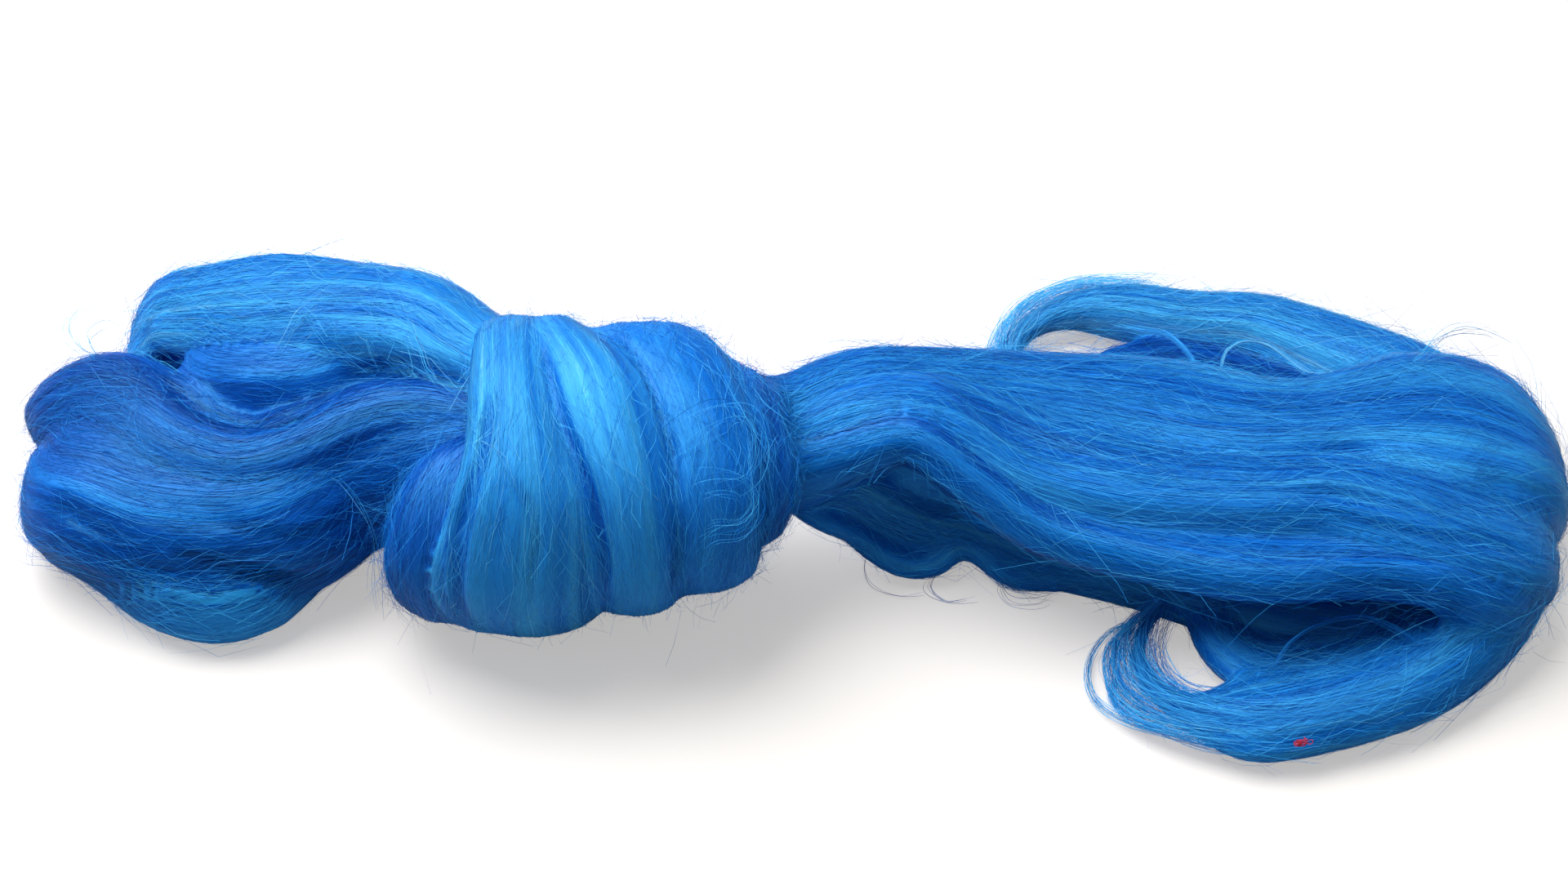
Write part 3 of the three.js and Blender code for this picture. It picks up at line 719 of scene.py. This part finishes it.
def fibres_of(bundle, tries, tree, random):
    """Lines that follow a bundle on the skin, the way out along them, and their tone."""
    shape = (tries, FIBRE_STEPS)
    reach = random.uniform(*FIBRE_REACH, tries) * min(1, bundle.length / LONG_LAY)
    start = random.uniform(-0.1, 1.0, tries)
    along = start[:, None] + (reach / bundle.length)[:, None] * np.linspace(0, 1, FIBRE_STEPS)
    if not bundle.closed:
        along = np.clip(along, 0.004, 0.996)
    lane = random.uniform(0, 1, (tries, 1))
    steady, bends = WANDER
    wander = random.normal(0, steady, (tries, 1)) * np.linspace(-0.5, 0.5, FIBRE_STEPS)
    lane = lane + (wander + slow_curves(random, *shape, 5) * bends) / bundle.girth
    along = along.ravel()
    points, around, relief = bundle.on_locks(along, lane.ravel())
    mean, spread, bends = LAYER
    layer = random.normal(mean, spread, (tries, 1))
    layer = layer + np.abs(slow_curves(random, *shape, 4)) * bends
    laid, outward, depth = laid_on(tree, points, layer.ravel() * MM)
    buried = depth > BURIED * (1 + 3 * melted(points))
    laid = np.where(buried[:, None], points, laid).reshape(*shape, 3)
    seen = (~buried & ((outward[:, 2] > -0.5) | (points[:, 2] > 0.01))).reshape(shape)
    # the lay's painted light and shade, and shade painted into the grooves between locks
    tone = tone_of(bundle.streak_and_painted_light(along, around), relief).reshape(shape)
    between, within = FIBRE_TONE
    tone = tone + random.normal(0, between, (tries, 1)) + within * slow_curves(random, *shape, 4)
    keep = seen.mean(1) > 0.5
    return laid[keep], outward.reshape(*shape, 3)[keep], tone[keep]


def make_fibres(group, count, bundles, tree, material):
    random = np.random.default_rng(SEED + len(group))
    area = np.array([bundle.length * bundle.girth for bundle in bundles])
    found = [
        fibres_of(bundle, int(count * share * TRIES) + 20, tree, random)
        for bundle, share in zip(bundles, area / area.sum())
    ]
    lines, outward, tone = choice(found, count, random)
    number = len(lines)
    widths = random.uniform(*FIBRE_WIDTH, (number, 1)) * taper(FIBRE_STEPS, 0.35) * MM
    rolls = random.normal(0, FIBRE_ROLL, (number, 1))
    rolls = rolls + FIBRE_ROLL * slow_curves(random, number, FIBRE_STEPS, 4)
    ribbons(f"fibres_{group}", lines, widths, rolls, outward, tone, material)


HAIR_STEPS = 5
HAIRS = 22800
HAIR_TRIES = 5  # hairs tried for each one that is kept
HAIR_WIDTH = (0.07, 0.12)  # mm at the root, half as much at the tip
# painted light: hairs are painted lighter than the packed fibre, for light that shines through them
HAIR_PAINTED_LIGHT_TONE = 0.66
SHORT_HAIRS = 0.6  # share of the hairs that are short
BEND = 0.3  # how far a hair bends, as a share of its length
ROOT = 0.15  # mm off the skin
HAIR_LIMITS = np.array(CAD_BOX) + np.array([[-8], [8]]) * MM  # no hair goes further
# How many times the usual number of hairs, and how far they stray from the way of the fibres.
UNRULY = {
    "shoulder": (2.4, 0.9), "right_band": (1.2, 0.4), "crescent": (1.6, 0.5),
    "left_band": (0.6, 0.12), "middle_band": (0.6, 0.12), "fan_back": (0.8, 0.14),
    "fan_middle": (0.8, 0.14), "fan_front": (0.8, 0.16),
}
USUAL = (1.0, 0.22)


def hairs_of(name, bundle, tries, tree, random):
    """Lines that leave a bundle's skin at a low angle, and their tone."""
    shape = (tries, HAIR_STEPS)
    straying = UNRULY.get(name, USUAL)[1]
    step = np.linspace(0, 1, HAIR_STEPS)
    short = random.uniform(0, 1, tries) < SHORT_HAIRS
    reach = np.where(short, 3 + random.gamma(2, 1.8, tries), 7 + random.gamma(1.6, 6, tries))
    way = random.choice([-1, 1], tries)
    along = random.uniform(0.02, 0.98, (tries, 1))
    along = along + (way * reach / bundle.length)[:, None] * step
    if not bundle.closed:
        along = np.clip(along, 0.01, 0.99)
    veer = random.normal(0, straying, tries) * reach
    bend = slow_curves(random, *shape, 3) * reach[:, None] * BEND
    lane = random.uniform(0, 1, (tries, 1))
    lane = lane + (veer[:, None] * step**1.4 + bend) / bundle.girth
    points = bundle.on_locks(along.ravel(), lane.ravel())[0]
    laid, outward, depth = laid_on(tree, points, np.zeros(len(points)))
    outward = outward.reshape(*shape, 3)
    steady = unit(outward.mean(1, keepdims=True) + 0.3 * outward)
    steep = np.where(short, random.gamma(1.6, 0.2, tries), random.gamma(1.2, 0.12, tries))
    rise = (steep * reach)[:, None] * step**1.5 + ROOT
    lines = laid.reshape(*shape, 3) + steady * (rise * MM)[..., None]
    buried = depth > BURIED * (1 + melted(points))
    within = ((lines > HAIR_LIMITS[0]) & (lines < HAIR_LIMITS[1])).all((1, 2))
    keep = within & ~buried.reshape(shape).any(1) & (steady[:, 0, 2] > -0.5)
    # painted light of the hairs, plus most of their lay's painted light and shade
    tone = HAIR_PAINTED_LIGHT_TONE + 0.8 * bundle.painted_light_and_shade + random.normal(0, 0.07, (tries, 1))
    return lines[keep], tone[keep]


def make_stray_hairs(bundles, tree, material):
    """The down that stands off the skin, most of it short."""
    random = np.random.default_rng(SEED + 50)
    area = {name: b.length * b.girth * UNRULY.get(name, USUAL)[0] for name, b in bundles.items()}
    whole = sum(area.values())
    found = [
        hairs_of(name, bundle, int(HAIRS * HAIR_TRIES * area[name] / whole) + 8, tree, random)
        for name, bundle in bundles.items()
    ]
    lines, tone = choice(found, HAIRS, random)
    each = (len(lines), 1)
    widths = random.uniform(*HAIR_WIDTH, each) * np.linspace(1, 0.5, HAIR_STEPS) * MM
    rolls = random.uniform(0, np.pi, each)
    ribbons("stray_hairs", lines, widths, rolls, (0, 0, 1), tone, material)


# Strands that stand clear of the rest: how many fibres, how thick the strand is at its start,
# middle and end, how light it is, where light a painted stand-in for light shining through the thin
# strand, and its line.
WISPS = [
  # the thin bows at the left end of the front loop
    (20, (1, 2.2, 3), 0.75, [(90, -22, 12), (84.5, -28, 8), (77.7, -29, 4), (74, -33, 2), (72, -39, 1.5),
        (72, -46, 1.5), (74, -52, 2), (79, -58, 3), (87, -64, 5), (98, -69, 7), (110, -72, 8)]),
    (20, (1, 2.2, 3), 0.7, [(90, -24, 12), (83, -30, 8), (78, -32, 4), (76, -36, 2.5), (76, -43, 2),
        (77, -50, 3), (81, -57, 4), (88, -64, 6), (98, -68, 8), (112, -71, 9)]),
    (24, (1, 2.2, 3.2), 0.65, [(90, -26, 12), (82, -30, 8), (79, -32, 4), (78, -37, 3), (78, -44, 3),
        (81, -51, 4), (85, -56, 5), (92, -62, 7), (102, -66, 9), (115, -69, 9)]),
    (150, (2, 9, 9), 0.65, [(92, -22, 12), (85, -27, 8), (80, -32, 4), (79, -38, 3.5), (80, -46, 3.5),
        (84, -53, 4), (91, -59, 5.5), (101, -64, 7), (114, -67, 8), (128, -66, 9)]),
    (110, (5, 9, 12), 0.6, [(84, -30, 5), (84, -38, 4), (86, -46, 4.5), (92, -53, 5), (102, -59, 6),
        (116, -62, 8), (130, -60, 9), (144, -53, 10)]),
    (60, (1, 3.5, 4.5), 0.65, [(80, -40, 2), (77, -48, 2.5), (80, -56, 3), (88, -63, 5), (100, -69, 6),
        (114, -72, 8)]),
    # the loose fibre that narrows the front loop's opening
    (60, (6, 7, 8), 0.6, [(99, -13, 10), (91, -23, 7), (87, -34, 5), (88, -44, 5), (93, -52, 5),
        (103, -56, 6), (118, -54, 8)]),
    (60, (5, 6, 6), 0.55, [(122, -42, 8), (112, -40, 7), (103, -36, 7), (98, -29, 7), (99, -20, 9),
        (108, -13, 12)]),
    # the bows at the left end of the back loop
    (34, (2, 3.6, 4), 0.85, [(56, 60, 7), (53.5, 72, 6), (56.6, 86, 5), (62.5, 95, 5), (69.7, 99, 6),
        (78, 100, 9), (88, 97, 12), (100, 92, 14)]),
    (120, (4, 8, 8), 0.8, [(63, 52, 8), (59, 62, 7), (57.5, 73, 7), (60, 83, 7), (66, 91, 8),
        (76, 95, 10), (90, 93, 13), (104, 88, 15)]),
    (40, (2, 3.6, 4), 0.85, [(58, 58, 8), (55.2, 70.6, 7), (58.8, 83.6, 7), (64.7, 92.3, 8),
        (71.9, 96.4, 10), (81.3, 95.3, 13), (96, 90, 14)]),
    # over the hollow between the fan and the back loop
    (34, (0.8, 1, 2.5), 0.8, [(109, 44, 17), (110, 50.8, 20), (111.5, 54.3, 23), (115.6, 55.8, 25),
        (121.2, 54.8, 25), (127.1, 49.7, 24), (131, 42, 26), (140, 34, 33)]),
    (24, (1.5, 1.5, 1.5), 0.6, [(84, 76, 15), (92.3, 71.8, 16), (96.9, 66.7, 19), (100.7, 59.2, 21),
        (103.3, 51, 22), (106, 42, 24), (112, 34, 31)]),
    # across the cavity under the fan
    (16, (1, 1.6, 3), 0.45, [(113.7, -50, 8), (116.2, -44.8, 12), (121, -41.3, 15), (127.7, -39.3, 17),
        (135.4, -39, 18), (142, -42, 17), (150, -48, 14)]),
    # the curls below the neck
    (90, (4, 7, 6), 0.72, [(4, -6, 24), (9.8, -8, 21), (15.8, -3, 15), (21.4, -2.6, 9), (27.8, -4, 5),
        (35.7, -4.9, 5), (43.2, -3, 8), (48.5, -5.7, 7), (53.8, -10, 4), (61.2, -12, 4), (70, -14, 5)]),
    (24, (1.5, 2, 2), 0.65, [(25.6, 0, 22), (22.8, -1, 14), (25.8, -3, 9), (30.7, -4.5, 8),
        (34.7, -1, 10), (33.4, 2, 14)]),
    (40, (1.5, 3, 4), 0.72, [(40, 1, 10), (45.6, -2.8, 10), (51.8, -6.7, 9), (55.4, -9.4, 6),
        (62.2, -12, 5), (67.9, -12.5, 8), (73.7, -13, 12)]),
    # single hairs that lie on the table
    (3, (0.5, 1.5, 2), 0.3, [(20.4, 0, 4), (19.5, -3, 1), (21.4, -9, 0.8), (27.6, -13, 0.8),
        (34.6, -12, 0.8)]),
    (5, (0.5, 3, 4), 0.35, [(43.4, -3, 5), (38, -4, 1.5), (35, -9, 0.8), (39.4, -14.5, 0.8),
        (47.4, -12.4, 0.8)]),
    (5, (0.5, 3, 4), 0.35, [(57.5, -8, 5), (52.5, -9, 1.5), (54.2, -15.4, 0.8), (62, -16.5, 0.8),
        (67, -12.6, 1)]),
    # stray tufts at the back of the bights and of the fan
    (7, (0.8, 3, 4), 0.8, [(-165, 33, 30), (-170, 40.7, 31), (-175, 43.4, 33), (-178, 50.3, 34),
        (-176, 56, 34), (-171.6, 57, 36)]),
    (7, (0.8, 3, 3), 0.8, [(-160, 36, 27), (-165, 41, 28), (-170.7, 42.3, 31), (-173.7, 47.7, 33),
        (-169.5, 52, 34), (-165.2, 51.2, 32)]),
    (12, (1, 4, 5), 0.8, [(150, 30, 35), (156.2, 33.2, 38), (161.3, 36.9, 41), (166.9, 40, 41),
        (173.2, 41, 39), (179, 38.7, 36)]),
    # the swirl of loose fibre on the knot's shoulder
    (16, (8, 7, 9), 0.6, [(-21, -35, 54), (-19, -34, 55), (-14, -33, 55), (-9.5, -34, 54),
        (-8, -36, 50.5), (-10.5, -39, 47.5), (-16, -40, 47.5), (-21, -41, 44)]),
    (14, (9, 8, 9), 0.6, [(-27, -29, 59), (-21, -23, 62), (-14, -18, 62), (-9, -19, 61), (-7, -24, 58.5),
        (-9, -32, 56), (-15, -36, 54.5)]),
    # loose hairs that lie across the lays
    (5, (2.5, 3, 4), 0.85, [(-123, 25, 45), (-120, 30, 48), (-118, 33, 50.5), (-115, 37, 51)]),
    (3, (3, 2.6, 4), 0.7, [(-108, -8, 38), (-103, -12, 36), (-98, -18, 31), (-96, -22, 24),
        (-96, -26, 15), (-95.5, -28, 8)]),
    (5, (2.5, 2, 3), 0.8, [(-91, 25, 57), (-87, 16, 55), (-85, 11, 53), (-82, 5, 50)]),
    (6, (3, 2.4, 3), 0.7, [(-146, 26, 37), (-153, 36, 32), (-159, 42, 31), (-164, 48, 27)]),
]
WISP_STEPS = 22
WISP_WIDTH = (0.07, 0.13)  # mm
WISP_ENDS = (0.14, 0.84)  # shares of its line that a fibre starts before and ends after
ON_TABLE = 0.4  # mm, the lowest that a strand lies
TURNED_UP = (0, -0.3, 1)  # the way that the ribbons of a free strand face


def make_wisps(material):
    random = np.random.default_rng(SEED + 60)
    lines, tones = [], []
    step = np.linspace(0, 1, WISP_STEPS)
    started, ended = WISP_ENDS
    for count, spreads, light, line in WISPS:
        first = random.uniform(0, started, (count, 1))
        last = random.uniform(ended, 1, (count, 1))
        share = first + (last - first) * step
        path = spline(line, share.ravel()).reshape(count, WISP_STEPS, 3)
        spread = np.interp(share, [0, 0.5, 1], spreads)[..., None] / 2
        side = unit(np.cross(np.gradient(path, axis=1), (0, 0, 1)))
        angle = random.uniform(0, 2 * np.pi, (count, 1, 1))
        out = random.uniform(0, 1, (count, 1, 1)) ** 0.5
        sway, lift = (slow_curves(random, count, WISP_STEPS, 5)[..., None] for _ in range(2))
        sideways = np.cos(angle) * out + 0.5 * sway
        upward = np.sin(angle) * out + 0.4 * lift
        path = path + side * sideways * spread
        path[..., 2] = np.maximum(path[..., 2] + (upward * spread)[..., 0], ON_TABLE)
        path[..., :2] -= MIDDLE
        lines.append(path * MM)
        # the strand's tone, with painted light where it is light
        tones.append(light + random.normal(0, 0.1, (count, 1)))
    lines, tones = np.concatenate(lines), np.concatenate(tones)
    number = len(lines)
    widths = random.uniform(*WISP_WIDTH, (number, 1)) * taper(WISP_STEPS, 0.3) * MM
    rolls = random.normal(0, 0.5, (number, 1))
    rolls = rolls + 0.4 * slow_curves(random, number, WISP_STEPS, 5)
    ribbons("wisps", lines, widths, rolls, TURNED_UP, tones, material)


# A speck of curled red fibre caught on the front loop, and its sizes in mm.
SPECK = {"middle": (117, -73.5, 11), "loose": 0.35, "trailing": 0.5, "reach": 1.5, "width": 0.14}
SPECK_FIBRES = 40
SPECK_STEPS = 9
SPECK_TURN = 4  # radians that a fibre curls through


def make_speck(material):
    random = np.random.default_rng(SEED + 70)
    each = (SPECK_FIBRES, 1)
    middle = np.array(SPECK["middle"]) + random.normal(0, SPECK["loose"], (*each, 3))
    middle[:, :, 0] += random.exponential(SPECK["trailing"], each)
    middle[..., :2] -= MIDDLE
    start = random.uniform(0, 2 * np.pi, each)
    turn = start + np.linspace(0, SPECK_TURN, SPECK_STEPS) * random.choice([-1, 1], each)
    curl = np.stack([np.cos(turn), 0.8 * np.sin(turn), 0.6 * np.sin(turn + 1)], 2)
    lines = (middle + curl * random.uniform(0.2, SPECK["reach"] / 2, (*each, 1))) * MM
    widths, tone = np.full(each, SPECK["width"] * MM), np.full(each, MID_TONE)
    ribbons("red_speck", lines, widths, np.zeros(each), TURNED_UP, tone, material)


# ---- materials

# Tones and their colours, from the darkest to the lightest. The dark end takes the painted shade of
# grooves and of shaded lays, in the deep blue of fibre in shade; the light end the painted light of
# hairs and wisps.
PACKED_BLUES = [
    (0.0, (4, 60, 156)), (0.25, (8, 88, 194)), (0.5, (16, 122, 222)), (0.8, (50, 166, 238)),
]
FIBRE_BLUES = [
    (0.0, (4, 60, 156)), (0.25, (8, 91, 196)), (0.5, (18, 128, 226)), (0.8, (66, 178, 241)),
    (1.0, (140, 214, 249)),
]
REDS = [(0.0, (190, 6, 36)), (1.0, (190, 6, 36))]
GLOSS_TINT = (0.12, 0.75, 1.0, 1)
SATIN = {
    "Anisotropic": 0.7, "Specular IOR Level": 0.8, "Specular Tint": GLOSS_TINT,
    "Sheen Weight": 0.15, "Sheen Roughness": 0.4, "Sheen Tint": GLOSS_TINT,
}


def put(node, values):
    """Sets inputs of a node, by name."""
    for key, value in values.items():
        node.inputs[key].default_value = value


def principled(name, values):
    material = bpy.data.materials.new(name)
    material.use_nodes = True
    shader = material.node_tree.nodes["Principled BSDF"]
    put(shader, values)
    return material, material.node_tree, shader


def srgb(levels):
    """A colour written in levels from 0 to 255, as linear light."""
    shares = [level / 255 for level in levels]
    return [v / 12.92 if v <= 0.04045 else ((v + 0.055) / 1.055) ** 2.4 for v in shares]


def attribute(tree, name):
    node = tree.nodes.new("ShaderNodeAttribute")
    node.attribute_name = name
    return node


def ramp(tree, stops):
    node = tree.nodes.new("ShaderNodeValToRGB")
    while len(node.color_ramp.elements) < len(stops):
        node.color_ramp.elements.new(0.5)
    for element, (place, colour) in zip(node.color_ramp.elements, stops):
        element.position = place
        element.color = (*srgb(colour), 1)
    return node


def satin_material(name, roughness, stops):
    """Nylon's silky sheen: the gloss is drawn out across the way the fibres run."""
    material, tree, shader = principled(name, {"Roughness": roughness, **SATIN})
    colours = ramp(tree, stops)
    tree.links.new(attribute(tree, "tone").outputs["Fac"], colours.inputs["Fac"])
    tree.links.new(colours.outputs["Color"], shader.inputs["Base Color"])
    tree.links.new(attribute(tree, "grain").outputs["Vector"], shader.inputs["Tangent"])
    return material


# ---- floor, light and camera

FLOOR_REACH = 3.0  # m to each side
FLOOR_LIT = (0.45, 0.45, 0.45, 1)  # the floor's colour for the light that it throws back
FLOOR_SEEN = (0.6, 0.575, 0.55, 1)  # and for the camera, which also sees the glow
FLOOR_GLOW = 0.45
GLOW_COLOUR = (1, 0.98, 0.95, 1)
WORLD_LIGHT = 0.18  # the world's strength, where the camera sees 1
KEY = {"place": (-0.34, 0.26, 0.84), "size": 1.0, "energy": 16}  # aimed at the origin
CAMERA = {"elevation": 40, "distance": 0.907, "sensor": 36, "lens": 85}
LOOKS_AT = (0, 20, 22.4)  # mm


def from_camera_ray(tree, operation, value):
    """Is Camera Ray, 1 where the camera looks and 0 for light, and what a value makes of it."""
    ray = tree.nodes.new("ShaderNodeLightPath").outputs["Is Camera Ray"]
    node = tree.nodes.new("ShaderNodeMath")
    node.operation = operation
    node.inputs[1].default_value = value
    tree.links.new(ray, node.inputs[0])
    return ray, node.outputs["Value"]


def make_floor():
    mesh = bpy.data.meshes.new("floor")
    sides = [(-1, -1), (1, -1), (1, 1), (-1, 1)]
    corners = [(x * FLOOR_REACH, y * FLOOR_REACH, 0) for x, y in sides]
    mesh.from_pydata(corners, [], [(0, 1, 2, 3)])
    floor = add_object("floor", mesh)
    looks = {"Roughness": 0.9, "Emission Color": GLOW_COLOUR}
    material, tree, shader = principled("floor_white", looks)
    ray, glow = from_camera_ray(tree, "MULTIPLY", FLOOR_GLOW)
    seen = tree.nodes.new("ShaderNodeMix")
    seen.data_type = "RGBA"
    put(seen, {"A": FLOOR_LIT, "B": FLOOR_SEEN})
    tree.links.new(ray, seen.inputs["Factor"])
    tree.links.new(seen.outputs["Result"], shader.inputs["Base Color"])
    tree.links.new(glow, shader.inputs["Emission Strength"])
    mesh.materials.append(material)


def make_key():
    light = bpy.data.lights.new("key", "AREA")
    light.size = KEY["size"]
    light.energy = KEY["energy"]
    lamp = add_object("key", light)
    lamp.location = KEY["place"]
    lamp.rotation_euler = (-lamp.location).to_track_quat("-Z", "Y").to_euler()


def make_world():
    world = bpy.data.worlds.new("studio")
    bpy.context.scene.world = world
    world.use_nodes = True
    tree = world.node_tree
    background = tree.nodes["Background"]
    put(background, {"Color": (1, 1, 1, 1)})
    _, strength = from_camera_ray(tree, "MAXIMUM", WORLD_LIGHT)
    tree.links.new(strength, background.inputs["Strength"])


def make_camera():
    elevation = math.radians(CAMERA["elevation"])
    camera = bpy.data.cameras.new("camera")
    camera.sensor_width = CAMERA["sensor"]
    camera.lens = CAMERA["lens"]
    holder = add_object("camera", camera)
    back = Vector((0, -math.cos(elevation), math.sin(elevation)))
    looks_at = Vector(LOOKS_AT) - Vector((*MIDDLE, 0))
    holder.location = looks_at * MM + back * CAMERA["distance"]
    holder.rotation_euler = (math.pi / 2 - elevation, 0, 0)
    bpy.context.scene.camera = holder


# ---- the scene

make_camera()
make_floor()
make_world()
make_key()

skin_material = satin_material("nylon_packed", 0.4, PACKED_BLUES)
fibre_material = satin_material("nylon_fibre", 0.35, FIBRE_BLUES)
red_material = satin_material("red_fibre", 0.7, REDS)
bundles = {}
for _, table in GROUPS.values():
    for name, (painted_light_and_shade, rows) in table.items():
        bundles[name] = Bundle(name, len(bundles) + 1, painted_light_and_shade, rows)
tree = make_skin(list(bundles.values()), skin_material)
for group, (count, table) in GROUPS.items():
    make_fibres(group, count, [bundles[name] for name in table], tree, fibre_material)
make_stray_hairs(bundles, tree, fibre_material)
make_wisps(fibre_material)
make_speck(red_material)

bpy.context.scene.view_settings.view_transform = "Standard"
